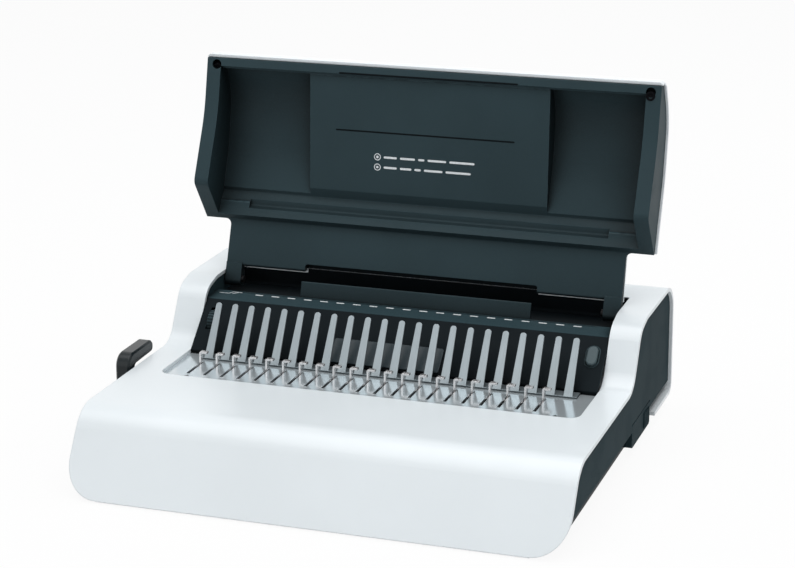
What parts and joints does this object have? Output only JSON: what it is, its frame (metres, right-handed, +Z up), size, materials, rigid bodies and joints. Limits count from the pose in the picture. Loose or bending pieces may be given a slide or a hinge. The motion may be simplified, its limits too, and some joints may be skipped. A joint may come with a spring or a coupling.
{
  "type": "comb binding machine",
  "caption": "Desktop comb binding machine with a powered sheet punch, ring-opening tines and hooks worked by a side lever, and an open arched lid.",
  "frame": {"origin": "on the table under the middle of the machine's overall box, with the side lever counted", "axes": "+X to the machine's right seen from the front, +Y to its back, +Z up"},
  "size_m": [0.4066, 0.3589, 0.2878],
  "materials": {
    "shell_white": "satin",
    "charcoal_plastic": "fine grain",
    "black_plastic": "fine grain",
    "lever_black": "satin",
    "foot_rubber": "matte",
    "deck_steel": "bright, faintly brushed",
    "tine_steel": "satin",
    "mechanism_steel": "machined",
    "frame_steel": "zinc plated",
    "gear_steel": "sintered, dark",
    "bronze_bush": "machined",
    "board_green": "solder mask",
    "light_plastic": "satin"
  },
  "bodies": {
    "machine": {"top_housing": "shell_white", "side_panel_left": "charcoal_plastic", "side_panel_right": "charcoal_plastic", "base_tray": "black_plastic", "rubber_feet": "foot_rubber", "base_screws": "mechanism_steel", "arm_lining_left": "charcoal_plastic", "arm_lining_right": "charcoal_plastic", "punch_housing": "charcoal_plastic", "wall_insert": "black_plastic", "hinge_trough": "charcoal_plastic", "paper_support": "charcoal_plastic", "comb_deck": "deck_steel", "tine_plate": "tine_steel", "carriage_rails": "black_plastic", "shaft_brackets": "black_plastic", "wheel_bracket": "black_plastic", "button_switch": "black_plastic", "die_block": "mechanism_steel", "pin_guide": "mechanism_steel", "side_frame_left": "frame_steel", "side_frame_right": "frame_steel", "cam_bushes": "bronze_bush", "gear_motor": "frame_steel", "transformer": "frame_steel", "circuit_board": "board_green", "power_inlet": "black_plastic", "switch_frame": "black_plastic", "lid_pins": "mechanism_steel"},
    "lid": {"lid_liner": "charcoal_plastic", "lid_outer_cover": "shell_white"},
    "lever": {"comb_lever": "lever_black", "lever_shaft": "mechanism_steel"},
    "carriage": {"hook_carriage": "tine_steel"},
    "guide_wheel": {"edge_wheel": "black_plastic"},
    "guide": {"edge_guide": "black_plastic"},
    "button": {"punch_button": "light_plastic"},
    "punches": {"punch_bar": "mechanism_steel"},
    "cam": {"cam_shaft": "mechanism_steel", "drive_gear": "gear_steel"},
    "pinion": {"motor_pinion": "mechanism_steel"},
    "rocker": {"switch_rocker": "black_plastic"},
    "drawer": {"chip_drawer": "charcoal_plastic"}
  },
  "joints": [
    {"name": "lid_hinge", "type": "hinge", "parent": "machine", "child": "lid", "pos_m": [0.00775, 0.0905, 0.102], "axis": [1, 0, 0], "range_deg": [0, 106]},
    {"name": "lever_pull", "type": "hinge", "parent": "machine", "child": "lever", "pos_m": [0.00775, -0.0399, 0.02654], "axis": [1, 0, 0], "range_deg": [0, 70]},
    {"name": "carriage_slide", "type": "slide", "parent": "machine", "child": "carriage", "axis": [0, -1, 0], "range_m": [0, 0.0252]},
    {"name": "wheel_spin", "type": "hinge", "parent": "machine", "child": "guide_wheel", "pos_m": [-0.15275, 0.04141, 0.07684], "axis": [1, 0, 0], "range_deg": [-540, 540]},
    {"name": "guide_slide", "type": "slide", "parent": "machine", "child": "guide", "axis": [1, 0, 0], "range_m": [-0.0031, 0.0031]},
    {"name": "button_press", "type": "slide", "parent": "machine", "child": "button", "axis": [0, 0.6712, -0.7413], "range_m": [0, 0.002], "stiffness_N_per_m": 400, "springref_m": -0.002},
    {"name": "cam_turn", "type": "hinge", "parent": "machine", "child": "cam", "pos_m": [0.00775, 0.1275, 0.072], "axis": [1, 0, 0], "range_deg": [0, 180]},
    {"name": "punch_stroke", "type": "slide", "parent": "machine", "child": "punches", "axis": [0, -1, 0], "range_m": [0, 0.0101]},
    {"name": "pinion_spin", "type": "hinge", "parent": "machine", "child": "pinion", "pos_m": [0.16475, 0.14679, 0.04113], "axis": [1, 0, 0], "range_deg": [-566, 1]},
    {"name": "switch_rock", "type": "hinge", "parent": "machine", "child": "rocker", "pos_m": [0.09175, 0.1745, 0.048], "axis": [1, 0, 0], "range_deg": [0, 12]},
    {"name": "drawer_pull", "type": "slide", "parent": "machine", "child": "drawer", "axis": [1, 0, 0], "range_m": [0, 0.2]}
  ],
  "couplings": [
    {"joint": "carriage_slide", "follows": "lever_pull", "m_per_rad": 0.020463},
    {"joint": "guide_slide", "follows": "wheel_spin", "m_per_rad": 0.00031831},
    {"joint": "punch_stroke", "follows": "cam_turn", "m_per_rad": 0.0031831},
    {"joint": "pinion_spin", "follows": "cam_turn", "ratio": -3.1429}
  ]
}
